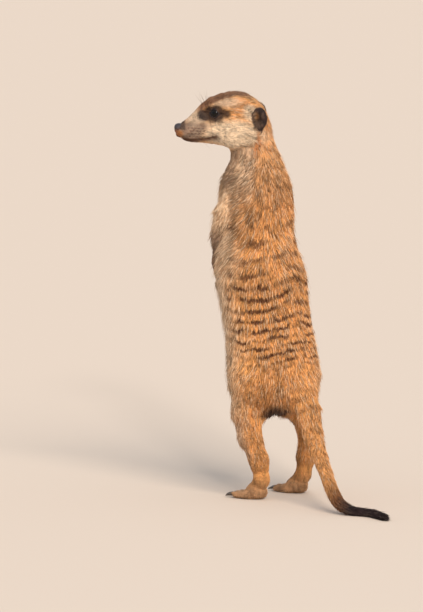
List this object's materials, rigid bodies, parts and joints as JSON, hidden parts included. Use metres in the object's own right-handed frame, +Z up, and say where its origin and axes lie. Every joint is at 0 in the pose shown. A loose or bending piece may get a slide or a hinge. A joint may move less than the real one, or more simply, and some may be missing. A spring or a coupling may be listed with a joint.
{
  "type": "meerkat",
  "caption": "Life-size meerkat standing upright on its hind feet, head turned to its left, tail laid on the floor as a prop.",
  "frame": {"origin": "on the floor, under the middle of the whole animal's box", "axes": "+Z up; the body faces -Y, so the animal's left side is +X; the head is turned half left, between -Y and +X"},
  "size_m": [0.0819, 0.2133, 0.3041],
  "materials": {
    "coat_tan": "short golden tan fur with darker cross bands on the back",
    "coat_pale": "short cream and tan fur of the head, with dark patches round the eyes",
    "coat_grey": "short grey-brown fur of the forearms and the paws",
    "coat_dark": "blackish brown fur of the ears and the end of the tail",
    "eye_gloss": "wet, glossy, very dark brown",
    "nose_skin": "bare, finely pebbled skin, slightly moist",
    "claw_horn": "smooth dark horn"
  },
  "bodies": {
    "root": {"head": "coat_pale", "neck": "coat_tan", "chest": "coat_tan", "belly": "coat_tan", "hips": "coat_tan", "tail_base": "coat_tan", "tail_middle": "coat_tan", "tail_tip": "coat_dark", "left_ear": "coat_dark", "right_ear": "coat_dark", "left_thigh": "coat_tan", "left_shank": "coat_tan", "left_upper_arm": "coat_tan", "left_foot": "coat_grey", "left_forearm": "coat_grey", "left_hand": "coat_grey", "left_eye": "eye_gloss", "left_foot_claw_1": "claw_horn", "left_foot_claw_2": "claw_horn", "left_foot_claw_3": "claw_horn", "left_foot_claw_4": "claw_horn", "left_hand_claw_1": "claw_horn", "left_hand_claw_2": "claw_horn", "left_hand_claw_3": "claw_horn", "left_hand_claw_4": "claw_horn", "right_thigh": "coat_tan", "right_shank": "coat_tan", "right_upper_arm": "coat_tan", "right_foot": "coat_grey", "right_forearm": "coat_grey", "right_hand": "coat_grey", "right_eye": "eye_gloss", "right_foot_claw_1": "claw_horn", "right_foot_claw_2": "claw_horn", "right_foot_claw_3": "claw_horn", "right_foot_claw_4": "claw_horn", "right_hand_claw_1": "claw_horn", "right_hand_claw_2": "claw_horn", "right_hand_claw_3": "claw_horn", "right_hand_claw_4": "claw_horn", "nose": "nose_skin"}
  },
  "joints": []
}
